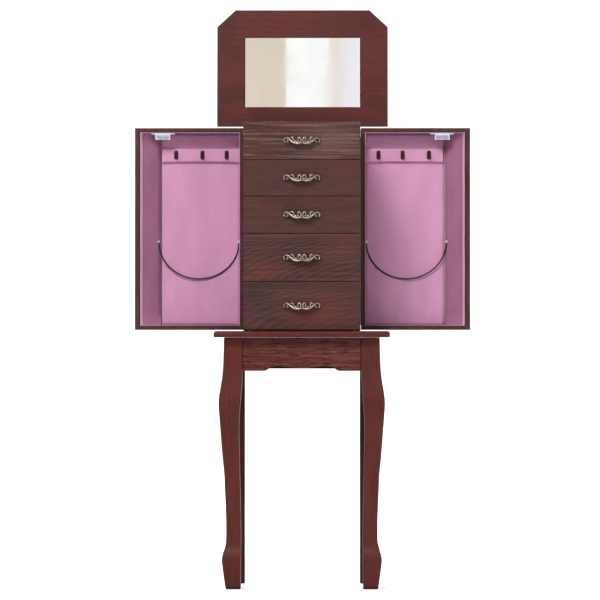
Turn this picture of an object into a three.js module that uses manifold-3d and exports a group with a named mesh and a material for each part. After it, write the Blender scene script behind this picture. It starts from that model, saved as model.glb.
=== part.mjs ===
import * as THREE from "three";
import { mergeVertices } from "three/addons/utils/BufferGeometryUtils.js";
import Module from "manifold-3d";

const wasm = await Module();
wasm.setup();

// Driving dimensions in millimetres. X is the width, Y the depth with the front at -Y, Z is up.
// Y is measured from the middle of the base top, and frameShift moves the finished group at the end.
const joint = 0.3; // clearance left between two glued or screwed pieces
const baseTop = { halfWidth: 165, halfDepth: 127, bottom: 472, shoulder: 479.5, top: 484, inset: 6.5 };
const legTop = baseTop.bottom - joint;
const leg = { innerRear: 110.5, outerDepth: 108, depthOffset: 38, rearInnerDepth: 73 };
const apron = { thick: 15, recess: 3, low: 409, rearLow: 412, frontHalf: 110.7, sideFace: 146 };
const carcass = { outer: 110, inner: 101, front: -93, rear: 115, backFront: 110, bottom: 484.3, top: 877 };
const shelf = { thick: 4, levels: [576.6, 666.9, 736.9, 805.7] };
const trayFloor = { bottom: 841, top: 845 };
const tray = { wall: 3, top: 876, split: 9, columns: [-33, 33] };
const drawerFront = { half: 109.8, face: -106, back: -94 };
const drawerBox = { half: 100, wall: 7, floor: 4, rear: 95 };
// Each drawer from the top down: front bottom, front top, box bottom, box top.
const drawers = [
  [806.2, 876.5, 808.1, 839.5],
  [737.4, 805.2, 739.4, 802.2],
  [667.4, 736.4, 669.3, 733.4],
  [577.1, 666.4, 579.0, 663.4],
  [486.2, 576.1, 484.6, 573.0],
];
const lid = {
  halfWidth: 165, length: 226, thick: 13, hingeGap: 3, faceGap: 0.25, clipX: 35.5, clipY: 33,
  leanBack: 94, glassHalf: 111.75, glassNear: 36, glassFar: 173, recess: 4,
};
const lidAxis = { y: 117.5, z: 877.25 };
const doorAxis = { x: 110.25, y: 117.5 };
// Doors are drawn open, as seen from above: u runs outwards from the hinge side, v runs back from the rim.
const door = {
  x: 112.75, y: 117.75, width: 211, square: 3, depth: 47, cant: 44, wall: 8,
  bottom: 486.5, top: 876.5, panelFront: 42,
};
const rail = { bottom: 811, top: 839.5, thick: 8 };
const hook = { u: [34.5, 81.5, 132.5], wire: 1.5, plateHalf: 4, plateLow: 817, plateHigh: 834 };
const catchPiece = { flange: [133.6, 180], body: [143, 172], low: 854, step: 864.3 };
const cord = {
  radius: 1.4, near: 123.6, far: 278.5, nearDepth: 38.8, farDepth: 33, anchor: 656.5, sag: 71, steps: 46,
};
const hinge = { radius: 2.25, pitch: 26, gap: 0.5 };
const frameShift = -(door.y + door.depth - baseTop.halfDepth) / 2;

const finishes = {
  mahogany: { color: 0x683832, roughness: 0.38, metalness: 0 },
  carcassWood: { color: 0x5c302b, roughness: 0.5, metalness: 0 },
  drawerWood: { color: 0x5f3d3a, roughness: 0.4, metalness: 0 },
  drawerLining: { color: 0xcf9dbb, roughness: 0.95, metalness: 0 },
  velvet: { color: 0xdea5c8, roughness: 0.95, metalness: 0 },
  antiqueBrass: { color: 0x8a7659, roughness: 0.42, metalness: 1 },
  darkBronze: { color: 0x4a3a2e, roughness: 0.4, metalness: 1 },
  hingeBrass: { color: 0xa88a54, roughness: 0.35, metalness: 1 },
  steel: { color: 0xb4b6b8, roughness: 0.3, metalness: 1 },
  catchPlastic: { color: 0xd8d9e2, roughness: 0.45, metalness: 0 },
  mirrorGlass: { color: 0xdfe4e4, roughness: 0.03, metalness: 1 },
  blackCord: { color: 0x1b191a, roughness: 0.7, metalness: 0 },
};

const group = new THREE.Group();

function solidOf(geometry) {
  geometry.deleteAttribute("normal");
  geometry.deleteAttribute("uv");
  const merged = mergeVertices(geometry, 1e-4);
  const mesh = new wasm.Mesh({
    numProp: 3,
    vertProperties: new Float32Array(merged.attributes.position.array),
    triVerts: new Uint32Array(merged.index.array),
  });
  mesh.merge();
  return new wasm.Manifold(mesh);
}

function geometryOf(solid) {
  const mesh = solid.getMesh();
  const geometry = new THREE.BufferGeometry();
  geometry.setAttribute("position", new THREE.BufferAttribute(new Float32Array(mesh.vertProperties), 3));
  geometry.setIndex(new THREE.BufferAttribute(new Uint32Array(mesh.triVerts), 1));
  return geometry;
}

function addPiece(name, solid, finish) {
  const geometry = geometryOf(solid).toNonIndexed();
  geometry.translate(0, frameShift, 0);
  geometry.computeVertexNormals();
  const mesh = new THREE.Mesh(geometry, new THREE.MeshStandardMaterial(finishes[finish]));
  mesh.name = name;
  group.add(mesh);
}

function block(x, y, z) {
  const geometry = new THREE.BoxGeometry(Math.abs(x[1] - x[0]), y[1] - y[0], z[1] - z[0]);
  geometry.translate((x[0] + x[1]) / 2, (y[0] + y[1]) / 2, (z[0] + z[1]) / 2);
  return solidOf(geometry);
}

// A closed outline pushed along one axis. Points are (x, y) for z, (x, z) for y and (y, z) for x.
function prism(points, axis, from, to) {
  const shape = new THREE.Shape(points.map(([a, b]) => new THREE.Vector2(a, b)));
  const geometry = new THREE.ExtrudeGeometry(shape, { depth: to - from, bevelEnabled: false });
  const turn = new THREE.Matrix4();
  if (axis === "z") turn.makeTranslation(0, 0, from);
  if (axis === "y") turn.set(1, 0, 0, 0, 0, 0, -1, to, 0, 1, 0, 0, 0, 0, 0, 1);
  if (axis === "x") turn.set(0, 0, 1, from, 1, 0, 0, 0, 0, 1, 0, 0, 0, 0, 0, 1);
  geometry.applyMatrix4(turn);
  return solidOf(geometry);
}

function circlePoints(radius, sides) {
  return Array.from({ length: sides }, (_, i) => {
    const angle = (2 * Math.PI * (i + 0.5)) / sides;
    return [radius * Math.cos(angle), radius * Math.sin(angle)];
  });
}

// A round wire along a smooth route of [x, y, z] points.
function wire(points, radius, steps, sides = 8) {
  const path = new THREE.CatmullRomCurve3(points.map((p) => new THREE.Vector3(...p)));
  const shape = new THREE.Shape(circlePoints(radius, sides).map(([a, b]) => new THREE.Vector2(a, b)));
  return solidOf(new THREE.ExtrudeGeometry(shape, { steps, extrudePath: path, bevelEnabled: false }));
}

function ball(centre, radius) {
  const geometry = new THREE.SphereGeometry(radius, 12, 8);
  geometry.translate(...centre);
  return solidOf(geometry);
}

function smooth(points, count) {
  const curve = new THREE.SplineCurve(points.map(([a, b]) => new THREE.Vector2(a, b)));
  return curve.getPoints(count).map((p) => [p.x, p.y]);
}

// A slab whose outline shrinks from level to level: each level is [z, halfX, halfY].
function steppedSlab(levels) {
  const outline = ([, hx, hy]) => [[-hx, -hy], [hx, -hy], [hx, hy], [-hx, hy]];
  const positions = [];
  const indices = [];
  for (const level of levels) for (const [x, y] of outline(level)) positions.push(x, y, level[0]);
  for (let k = 0; k < levels.length - 1; k++) {
    for (let i = 0; i < 4; i++) {
      const a = 4 * k + i, b = 4 * k + ((i + 1) % 4);
      indices.push(a, b, b + 4, a, b + 4, a + 4);
    }
  }
  const last = 4 * (levels.length - 1);
  indices.push(0, 2, 1, 0, 3, 2, last, last + 1, last + 2, last, last + 2, last + 3);
  const geometry = new THREE.BufferGeometry();
  geometry.setAttribute("position", new THREE.Float32BufferAttribute(positions, 3));
  geometry.setIndex(indices);
  return solidOf(geometry);
}

function makeBaseTop() {
  const { halfWidth, halfDepth, bottom, shoulder, top, inset } = baseTop;
  const levels = [
    [bottom, halfWidth - 1, halfDepth - 1],
    [bottom + 1, halfWidth, halfDepth],
    [shoulder, halfWidth, halfDepth],
  ];
  for (let i = 1; i <= 4; i++) {
    const turn = (i / 4) * (Math.PI / 2);
    const shrink = inset * (1 - Math.cos(turn));
    levels.push([shoulder + (top - shoulder) * Math.sin(turn), halfWidth - shrink, halfDepth - shrink]);
  }
  addPiece("base_top", steppedSlab(levels), "mahogany");
}

// Distance of a front leg's outer face from the middle, by height: knee, slim calf and ankle roll.
const legOuter = [
  [142.6, 0], [144.2, 7.5], [146.3, 22.5], [149.1, 45], [150, 57], [147.4, 69], [143, 83],
  [142, 105], [142.5, 141], [143.3, 165], [144.4, 189], [145.3, 214], [148.1, 242], [150, 264],
  [151.9, 289], [154.4, 324], [155.8, 345], [155.1, 361], [151.4, 384], [148.2, 408], [147, 433],
  [146, 471.7],
];
const legInner = [
  [111, 471.7], [111, 409], [112, 390], [114, 362], [116.3, 338], [117.4, 313], [117.8, 289],
  [116.7, 242], [116.2, 214], [115, 167], [114.3, 118], [114.1, 82], [114.8, 22], [114.8, 0],
];

function legOutline(inner, offset, sign) {
  const outer = smooth(legOuter, 44);
  outer[outer.length - 1] = [146, legTop];
  return [...outer, ...inner].map(([out, z]) => [sign * (out - offset), z]);
}

function makeLegs() {
  const inner = [[111, legTop], ...smooth(legInner.slice(1), 24)];
  const straight = [[leg.innerRear, legTop], [leg.innerRear, 0]];
  for (const [side, sign] of [["left", -1], ["right", 1]]) {
    const frontView = prism(legOutline(inner, 0, sign), "y", -130, -60);
    const sideView = prism(legOutline(inner, leg.depthOffset, -1), "x", -160, 160);
    addPiece(`leg_front_${side}`, frontView.intersect(sideView), "mahogany");
    const rearLeg = prism(legOutline(straight, 0, sign), "y", leg.rearInnerDepth, leg.outerDepth);
    addPiece(`leg_rear_${side}`, rearLeg, "mahogany");
  }
}

// Scalloped lower edge from the middle to the end, for an apron of the given half length.
function scallop(half) {
  const k = half / apron.frontHalf;
  const arch = [
    [0, 414], [15, 414.6], [30, 417], [45, 418.3], [55, 417.4], [61, 414.6], [64, 411.6], [68, 409.4],
  ];
  const curve = smooth(arch, 18).map(([x, z]) => [x * k, z]);
  const right = [...curve, [72 * k, apron.low], [half, apron.low]];
  const left = right.slice(1).reverse().map(([x, z]) => [-x, z]);
  return [...left, ...right, [half, legTop], [-half, legTop]];
}

function makeAprons() {
  const front = -leg.outerDepth + apron.recess;
  addPiece("apron_front", prism(scallop(apron.frontHalf), "y", front, front + apron.thick), "mahogany");
  const rear = leg.outerDepth - apron.recess;
  const rearHalf = leg.innerRear - joint;
  const board = block([-rearHalf, rearHalf], [rear - apron.thick, rear], [apron.rearLow, legTop]);
  addPiece("apron_rear", board, "mahogany");
  const outer = apron.sideFace - apron.recess;
  const sideHalf = leg.rearInnerDepth - joint;
  addPiece("apron_left", prism(scallop(sideHalf), "x", -outer, -outer + apron.thick), "mahogany");
  addPiece("apron_right", prism(scallop(sideHalf), "x", outer - apron.thick, outer), "mahogany");
}

function makeCarcass() {
  const { outer, inner, front, rear, backFront, bottom, top } = carcass;
  addPiece("side_panel_left", block([-outer, -inner], [front, rear], [bottom, top]), "carcassWood");
  addPiece("side_panel_right", block([inner, outer], [front, rear], [bottom, top]), "carcassWood");
  const half = inner - joint;
  addPiece("back_panel", block([-half, half], [backFront, rear], [bottom, top]), "carcassWood");
  shelf.levels.forEach((middle, i) => {
    const z = [middle - shelf.thick / 2, middle + shelf.thick / 2];
    addPiece(`shelf_${i + 1}`, block([-half, half], [front + joint, backFront - joint], z), "carcassWood");
  });
  const floorZ = [trayFloor.bottom, trayFloor.top];
  addPiece("tray_floor", block([-half, half], [front + joint, backFront - joint], floorZ), "carcassWood");
}

// Lift-in insert under the lid: one wide bay for the ring rolls in front, three small bays behind.
function makeTopTray() {
  const half = carcass.inner - 0.5;
  const y = [carcass.front + 0.5, carcass.backFront - 0.5];
  const low = trayFloor.top + joint;
  const { wall, top, split, columns } = tray;
  let body = block([-half, half], y, [low, top]);
  const bayZ = [low + wall, top + 1];
  body = body.subtract(block([-half + wall, half - wall], [y[0] + wall, split - wall / 2], bayZ));
  const edges = [-half + wall / 2, ...columns, half - wall / 2];
  for (let i = 0; i < 3; i++) {
    const x = [edges[i] + wall / 2, edges[i + 1] - wall / 2];
    body = body.subtract(block(x, [split + wall / 2, y[1] - wall], bayZ));
  }
  addPiece("top_tray", body, "velvet");
}

function makeRingRolls() {
  const half = carcass.inner - 0.5 - tray.wall - 0.5;
  const y0 = carcass.front + 0.5 + tray.wall + 0.5;
  const y1 = tray.split - tray.wall / 2 - 0.5;
  const low = trayFloor.top + joint + tray.wall + joint;
  const rolls = 6;
  const pitch = (y1 - y0) / rolls;
  const outline = [[y0, low]];
  for (let i = 0; i < rolls; i++) {
    for (let k = 0; k <= 6; k++) {
      if (i > 0 && k === 0) continue;
      const angle = Math.PI * (1 - k / 6);
      const y = y0 + pitch * (i + 0.5 + 0.5 * Math.cos(angle));
      outline.push([y, low + 11 + 9 * Math.sin(angle)]);
    }
  }
  outline.push([y1, low]);
  addPiece("ring_roll_cushion", prism(outline.reverse(), "x", -half, half), "velvet");
}

// Lid pieces are drawn shut, relative to the hinge axis, then turned up and back to where they rest.
function openLid(solid) {
  return solid.rotate([-lid.leanBack, 0, 0]).translate([0, lidAxis.y, lidAxis.z]);
}

function makeLid() {
  const { halfWidth, length, thick, hingeGap, faceGap, clipX, clipY } = lid;
  const rear = -hingeGap;
  const front = rear - length;
  const outline = [
    [halfWidth, rear], [-halfWidth, rear], [-halfWidth, front + clipY],
    [-halfWidth + clipX, front], [halfWidth - clipX, front], [halfWidth, front + clipY],
  ];
  const board = prism(outline.reverse(), "z", faceGap, faceGap + thick);
  const glassY = [rear - lid.glassFar, rear - lid.glassNear];
  const pocket = block([-lid.glassHalf, lid.glassHalf], glassY, [faceGap - 1, faceGap + lid.recess]);
  addPiece("lid_board", openLid(board.subtract(pocket)), "mahogany");
  const glassZ = [faceGap + 0.8, faceGap + lid.recess - joint];
  const glassHalf = lid.glassHalf - joint;
  const glass = block([-glassHalf, glassHalf], [glassY[0] + joint, glassY[1] - joint], glassZ);
  addPiece("mirror", openLid(glass), "mirrorGlass");
}

// One leaf of a long hinge on the +X axis through the origin. The plate lies in y and z given;
// knuckles of this leaf take every second place, starting at phase.
function hingeLeaf(length, plateY, plateZ, phase) {
  const { radius, pitch, gap } = hinge;
  const places = Math.round(length / pitch);
  const step = length / places;
  const knuckle = (i, r, spare) => prism(
    circlePoints(r, 14), "x", i * step + gap / 2 - spare, (i + 1) * step - gap / 2 + spare);
  let leaf = block([0.3, length - 0.3], plateY, plateZ);
  for (let i = 0; i < places; i++) {
    if (i % 2 !== phase) leaf = leaf.subtract(knuckle(i, radius + 0.45, gap));
  }
  for (let i = phase; i < places; i += 2) leaf = leaf.add(knuckle(i, radius, 0));
  return leaf;
}

function makeHinges() {
  const lidLength = 190;
  const fixed = hingeLeaf(lidLength, [-2.2, -1.2], [-30, 0.4], 0).translate([-lidLength / 2, 0, 0]);
  addPiece("lid_hinge_fixed_leaf", fixed.translate([0, lidAxis.y, lidAxis.z]), "hingeBrass");
  const moving = hingeLeaf(lidLength, [-2.7, -1.7], [0.2, 11], 1).translate([-lidLength / 2, 0, 0]);
  addPiece("lid_hinge_moving_leaf", openLid(moving), "hingeBrass");

  // Door hinges stand upright, so the leaf is turned to run along Z with its y and z across.
  const doorLength = 364;
  const upright = (solid) => solid.rotate([0, -90, 0]);
  const low = 496;
  const place = (solid, sign) => {
    const stood = upright(solid).translate([0, 0, low]);
    const sided = sign < 0 ? stood : stood.mirror([1, 0, 0]);
    return sided.translate([sign * doorAxis.x, doorAxis.y, 0]);
  };
  for (const [side, sign] of [["left", -1], ["right", 1]]) {
    // After standing up, the leaf's z runs along -X, so values below read towards the cabinet when negative.
    const onCabinet = hingeLeaf(doorLength, [-2.2, -1.2], [-8.7, -0.4], 0);
    addPiece(`door_hinge_fixed_leaf_${side}`, place(onCabinet, sign), "hingeBrass");
    const onDoor = hingeLeaf(doorLength, [-0.4, 9.5], [1.2, 2.2], 1);
    addPiece(`door_hinge_moving_leaf_${side}`, place(onDoor, sign), "hingeBrass");
  }
}

// A pull with two descending strands, a pair of middle curls and a ball at each end.
function makeHandle(index, middleZ) {
  const back = drawerFront.face - joint;
  let pull = null;
  const join = (piece) => { pull = pull ? pull.add(piece) : piece; };
  join(wire([[-33, -112, 1.2], [-28, -115, 5], [-21, -117.5, 3.4], [-12, -119.5, -1.8], [0, -120, -4.6],
    [12, -119.5, -1.8], [21, -117.5, 3.4], [28, -115, 5], [33, -112, 1.2]], 2, 34, 6));
  join(wire([[-24, -115.5, -1.5], [-14, -118.2, -4.6], [0, -119.6, -5.2],
    [14, -118.2, -4.6], [24, -115.5, -1.5]], 1.6, 18, 6));
  for (const sign of [-1, 1]) {
    join(ball([sign * 32.6, -112.2, 0.8], 2.7));
    join(wire([[sign * 27.5, back, 3], [sign * 27.5, -110, 3.4], [sign * 27, -115.2, 4.4]], 2.4, 4, 8));
    join(wire([[sign * 2.4, -120, -4.6], [sign * 8.2, -120.4, -1.6], [sign * 7.2, -120.6, 3.6],
      [sign * 3, -120.6, 4.2], [sign * 1.9, -120.5, 0.6], [sign * 4.4, -120.3, -0.4]], 1.3, 14, 6));
  }
  addPiece(`handle_${index}`, pull.translate([0, 0, middleZ]), "antiqueBrass");
}

function makeDrawers() {
  drawers.forEach(([low, high, boxLow, boxHigh], i) => {
    const { half, face, back } = drawerFront;
    addPiece(`drawer_front_${i + 1}`, block([-half, half], [face, back], [low, high]), "drawerWood");
    const y = [back + joint, drawerBox.rear];
    const inside = drawerBox.half - drawerBox.wall;
    const outer = block([-drawerBox.half, drawerBox.half], y, [boxLow, boxHigh]);
    const hollow = block([-inside, inside], [y[0] + drawerBox.wall, y[1] - drawerBox.wall],
      [boxLow + drawerBox.floor, boxHigh + 1]);
    addPiece(`drawer_box_${i + 1}`, outer.subtract(hollow), "drawerLining");
    makeHandle(i + 1, (low + high) / 2);
  });
}

// Turns door outline points (u, v) into plan points on the chosen side, kept anticlockwise.
function doorPlan(points, sign) {
  const plan = points.map(([u, v]) => [sign * (door.x + u), door.y + v]);
  return sign < 0 ? plan.reverse() : plan;
}

function doorBlock(sign, u, v, z) {
  const plan = doorPlan([[u[0], v[0]], [u[1], v[0]], [u[1], v[1]], [u[0], v[1]]], sign);
  return prism(plan, "z", z[0], z[1]);
}

function makeDoorShell(side, sign) {
  const { width, square, depth, cant, wall, bottom, top, panelFront } = door;
  const outline = [[0, 0], [width, 0], [width, square], [width - cant, depth], [0, depth]];
  // The canted wall's inner face runs at 45 degrees, one wall thickness inside the outer one.
  const inward = width + square - wall * Math.SQRT2;
  const cavity = [[wall, -1], [inward + 1, -1], [inward - depth - 1, depth + 1], [wall, depth + 1]];
  const shell = prism(doorPlan(outline, sign), "z", bottom, top);
  const hollow = prism(doorPlan(cavity, sign), "z", bottom + wall, top - wall);
  addPiece(`door_frame_${side}`, shell.subtract(hollow), "mahogany");
  const edge = joint * Math.SQRT2;
  const panel = [
    [wall + joint, panelFront], [inward - panelFront - edge, panelFront],
    [inward - depth - edge, depth], [wall + joint, depth],
  ];
  const panelSolid = prism(doorPlan(panel, sign), "z", bottom + wall + joint, top - wall - joint);
  addPiece(`door_panel_${side}`, panelSolid, "velvet");
  const railBack = panelFront - joint;
  const railFront = railBack - rail.thick;
  const railOutline = [
    [wall + joint, railFront], [inward - railBack - edge, railFront],
    [inward - railBack - edge, railBack], [wall + joint, railBack],
  ];
  addPiece(`hook_rail_${side}`, prism(doorPlan(railOutline, sign), "z", rail.bottom, rail.top), "velvet");
}

function makeDoorHooks(side, sign) {
  const face = door.panelFront - joint - rail.thick - joint;
  hook.u.forEach((u, i) => {
    const x = sign * (door.x + u);
    const at = (out, z) => [x, door.y + face - out, z];
    const plate = doorBlock(sign, [u - hook.plateHalf, u + hook.plateHalf], [face - 1.6, face],
      [hook.plateLow, hook.plateHigh]);
    const arm = wire([at(0.8, 822), at(5, 819.6), at(10, 820), at(12.6, 824), at(13, 830)], hook.wire, 12, 8);
    const tip = ball(at(13, 831), 2.3);
    addPiece(`hook_${side}_${i + 1}`, plate.add(arm).add(tip), "darkBronze");
  });
}

function makeDoorCatch(side, sign) {
  const { flange, body, low, step } = catchPiece;
  const high = door.top - door.wall - joint;
  const plate = doorBlock(sign, flange, [3, 15], [step, high]);
  const block1 = doorBlock(sign, body, [3, 19], [low, step + 0.5]);
  const groove = doorBlock(sign, [body[0] + 6, body[1] - 6], [2, 5], [low + 4, low + 6.4]);
  addPiece(`catch_${side}`, plate.add(block1).subtract(groove), "catchPlastic");
  // The strike plate sits on the cabinet side, where the catch meets it when the door is shut.
  const reach = doorAxis.x - door.x;
  const y = [doorAxis.y - body[1] + reach + 3, doorAxis.y - body[0] + reach - 3];
  const outer = carcass.outer + joint;
  const x = [sign * outer, sign * (outer + 1)].sort((a, b) => a - b);
  addPiece(`strike_plate_${side}`, block(x, y, [low + 1, step - 1]), "steel");
}

function makeDoorCord(side, sign) {
  const points = [];
  const span = (cord.far - cord.near) / 2;
  // A springy cord between two plugs sags into half an ellipse.
  for (let i = 0; i <= cord.steps; i++) {
    const angle = (Math.PI * i) / cord.steps;
    const share = (1 + Math.cos(angle)) / 2;
    const x = cord.near + 2 * span * share;
    const depth = cord.nearDepth + (cord.farDepth - cord.nearDepth) * share;
    points.push([sign * x, door.y + depth, cord.anchor - cord.sag * Math.sin(angle)]);
  }
  addPiece(`necklace_cord_${side}`, wire(points, cord.radius, cord.steps, 8), "blackCord");
}

makeBaseTop();
makeLegs();
makeAprons();
makeCarcass();
makeTopTray();
makeRingRolls();
makeLid();
makeHinges();
makeDrawers();
for (const [side, sign] of [["left", -1], ["right", 1]]) {
  makeDoorShell(side, sign);
  makeDoorHooks(side, sign);
  makeDoorCatch(side, sign);
  makeDoorCord(side, sign);
}

export default group;
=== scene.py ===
import bmesh
import bpy
import math
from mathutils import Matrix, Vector, noise


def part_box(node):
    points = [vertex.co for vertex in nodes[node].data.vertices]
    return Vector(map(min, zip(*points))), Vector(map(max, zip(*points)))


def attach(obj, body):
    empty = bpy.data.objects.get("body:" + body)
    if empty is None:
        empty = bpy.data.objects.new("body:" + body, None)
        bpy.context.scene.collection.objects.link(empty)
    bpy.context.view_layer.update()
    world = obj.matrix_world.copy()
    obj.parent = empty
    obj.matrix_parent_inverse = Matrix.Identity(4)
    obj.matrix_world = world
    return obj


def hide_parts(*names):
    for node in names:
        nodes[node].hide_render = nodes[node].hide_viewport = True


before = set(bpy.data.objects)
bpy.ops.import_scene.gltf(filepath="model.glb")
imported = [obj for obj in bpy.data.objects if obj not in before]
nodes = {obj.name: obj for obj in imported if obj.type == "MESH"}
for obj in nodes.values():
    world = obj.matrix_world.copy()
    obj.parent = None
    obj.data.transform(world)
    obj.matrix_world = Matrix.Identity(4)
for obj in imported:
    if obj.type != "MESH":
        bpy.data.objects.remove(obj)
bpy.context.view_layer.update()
mm = 0.001
depthShift = -18.875  # from the cabinet's own middle to the middle of the model's box, in millimetres
doorCorner = {"x": 112.75, "y": 117.75}  # where an open door's hinge side and rim meet, on the right
sides = (("left", -1), ("right", 1))


def place(x, y, z):  # cabinet millimetres to metres in the model's frame
    return Vector((x * mm, (y + depthShift) * mm, z * mm))


def doorPlace(sign, u, v, z):  # u outwards from the door's hinge side, v back from its rim
    return place(sign * (doorCorner["x"] + u), doorCorner["y"] + v, z)


# camera first, level with the base top and far away
view = {"place": (0.043, -7.625, 0.467), "aim": (-0.0034, -0.125, 0.542), "lens": 240.0}
cameraData = bpy.data.cameras.new("camera")
cameraData.lens = view["lens"]
cameraData.sensor_width = 36.0
cameraData.clip_start = 0.1
cameraData.clip_end = 60.0
camera = bpy.data.objects.new("camera", cameraData)
camera.location = view["place"]
camera.rotation_mode = "QUATERNION"
aimDirection = Vector(view["aim"]) - Vector(view["place"])
camera.rotation_quaternion = aimDirection.to_track_quat("-Z", "Y")
bpy.context.collection.objects.link(camera)
bpy.context.scene.camera = camera
bpy.context.scene.view_settings.view_transform = "Standard"
print("camera in place")


# node groups and materials

def newGroup(name, inputs, outputs):
    tree = bpy.data.node_groups.new(name, "ShaderNodeTree")
    tree.interface.new_socket("Vector", in_out="INPUT", socket_type="NodeSocketVector")
    for label, value in inputs.items():
        tree.interface.new_socket(label, in_out="INPUT", socket_type="NodeSocketFloat").default_value = value
    for label in outputs:
        tree.interface.new_socket(label, in_out="OUTPUT", socket_type="NodeSocketFloat")
    return tree, tree.nodes.new("NodeGroupInput"), tree.nodes.new("NodeGroupOutput")


def mathNode(tree, operation, a, b=None, clamp=False):
    node = tree.nodes.new("ShaderNodeMath")
    node.operation = operation
    node.use_clamp = clamp
    for index, value in enumerate((a, b)):
        if value is None:
            continue
        if isinstance(value, (int, float)):
            node.inputs[index].default_value = value
        else:
            tree.links.new(value, node.inputs[index])
    return node.outputs[0]


def mapRange(tree, value, low, high, outLow=0.0, outHigh=1.0, smooth=False):
    node = tree.nodes.new("ShaderNodeMapRange")
    node.interpolation_type = "SMOOTHSTEP" if smooth else "LINEAR"
    tree.links.new(value, node.inputs["Value"])
    for label, number in (("From Min", low), ("From Max", high), ("To Min", outLow), ("To Max", outHigh)):
        node.inputs[label].default_value = number
    return node.outputs["Result"]


def noiseNode(tree, vector, scale, detail=2.0, roughness=0.5):
    node = tree.nodes.new("ShaderNodeTexNoise")
    tree.links.new(vector, node.inputs["Vector"])
    node.inputs["Scale"].default_value = scale
    node.inputs["Detail"].default_value = detail
    node.inputs["Roughness"].default_value = roughness
    return node.outputs["Fac"]


def vectorMath(tree, operation, a, b=None):
    node = tree.nodes.new("ShaderNodeVectorMath")
    node.operation = operation
    tree.links.new(a, node.inputs[0])
    if isinstance(b, tuple):
        node.inputs[1].default_value = b
    elif b is not None:
        tree.links.new(b, node.inputs[1])
    return node.outputs


def stretched(tree, vector, factors):
    return vectorMath(tree, "MULTIPLY", vector, factors)[0]


def grainNoise(tree, vector, factors, detail, roughness):
    return noiseNode(tree, stretched(tree, vector, factors), 1.0, detail, roughness)


def mixColor(tree, mask, a, b):
    node = tree.nodes.new("ShaderNodeMix")
    node.data_type = "RGBA"
    for socket, value in ((node.inputs[0], mask), (node.inputs[6], a), (node.inputs[7], b)):
        if isinstance(value, (int, float)):
            socket.default_value = value
        elif isinstance(value, (tuple, list)):
            socket.default_value = (*value, 1.0)
        else:
            tree.links.new(value, socket)
    return node.outputs[2]


# Grain that runs along the vector's X: growth rings cut into long arches, short dark pores, slow drift.
def makeWoodFigure():
    tree, given, result = newGroup("woodFigure", {"Ring Width": 0.009, "Waviness": 0.010, "Lean": 0.05},
                                   ("Rings", "Pores", "Drift", "Streaks", "Flecks"))
    vector = given.outputs["Vector"]
    split = tree.nodes.new("ShaderNodeSeparateXYZ")
    tree.links.new(vector, split.inputs[0])
    slowNoise = grainNoise(tree, vector, (5.5, 16.0, 16.0), 2.0, 0.5)
    fineNoise = grainNoise(tree, vector, (22.0, 120.0, 120.0), 2.0, 0.5)
    swing = mathNode(tree, "MULTIPLY", mathNode(tree, "SUBTRACT", slowNoise, 0.5), given.outputs["Waviness"])
    swing = mathNode(tree, "MULTIPLY", swing, 4.0)
    ripple = mathNode(tree, "MULTIPLY", mathNode(tree, "SUBTRACT", fineNoise, 0.5), 0.005)
    # The tree's middle leans through the board's thickness, so the rings show as nested arches.
    lean = mathNode(tree, "MULTIPLY", split.outputs[0], given.outputs["Lean"])
    across = mathNode(tree, "ADD", split.outputs[1], lean)
    deep = mathNode(tree, "ADD", mathNode(tree, "ADD", split.outputs[2], swing), ripple)
    squareSum = mathNode(tree, "ADD", mathNode(tree, "MULTIPLY", across, across),
                         mathNode(tree, "MULTIPLY", deep, deep))
    reach = mathNode(tree, "SQRT", squareSum)
    turns = mathNode(tree, "DIVIDE", reach, given.outputs["Ring Width"])
    phase = mathNode(tree, "FRACT", turns)
    late = mapRange(tree, phase, 0.30, 0.88, 0.0, 1.0, True)
    early = mapRange(tree, phase, 0.88, 1.0, 1.0, 0.0, True)
    rings = mathNode(tree, "MULTIPLY", late, early)
    tree.links.new(rings, result.inputs["Rings"])
    poreNoise = grainNoise(tree, vector, (55.0, 950.0, 950.0), 1.0, 0.4)
    pores = mapRange(tree, poreNoise, 0.55, 0.70, 0.0, 1.0, True)
    poreBias = mathNode(tree, "ADD", mathNode(tree, "MULTIPLY", rings, 0.7), 0.3)
    tree.links.new(mathNode(tree, "MULTIPLY", pores, poreBias), result.inputs["Pores"])
    streaks = grainNoise(tree, vector, (6.0, 260.0, 260.0), 3.0, 0.6)
    tree.links.new(streaks, result.inputs["Streaks"])
    flecks = grainNoise(tree, vector, (42.0, 620.0, 620.0), 2.0, 0.6)
    tree.links.new(mapRange(tree, flecks, 0.52, 0.72, 0.0, 1.0, True), result.inputs["Flecks"])
    tree.links.new(grainNoise(tree, vector, (7.0, 20.0, 20.0), 3.0, 0.55),
                   result.inputs["Drift"])
    return tree


# A mask that is strong on corners, for edge wear and for painted shade and highlight along edges.
def makeEdgeWearAndShade():
    tree, given, result = newGroup("edgeWearAndShade", {"Width": 0.0022}, ("Edge",))
    rounded = tree.nodes.new("ShaderNodeBevel")
    rounded.samples = 4
    tree.links.new(given.outputs["Width"], rounded.inputs["Radius"])
    geometry = tree.nodes.new("ShaderNodeNewGeometry")
    facing = vectorMath(tree, "DOT_PRODUCT", rounded.outputs[0], geometry.outputs["Normal"])["Value"]
    away = mathNode(tree, "SUBTRACT", 1.0, facing)
    strong = mapRange(tree, away, 0.02, 0.22, 0.0, 1.0, True)
    broken = noiseNode(tree, given.outputs["Vector"], 85.0, 3.0, 0.6)
    patchy = mapRange(tree, broken, 0.36, 0.62, 0.25, 1.0, True)
    tree.links.new(mathNode(tree, "MULTIPLY", strong, patchy, True), result.inputs["Edge"])
    return tree


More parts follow.
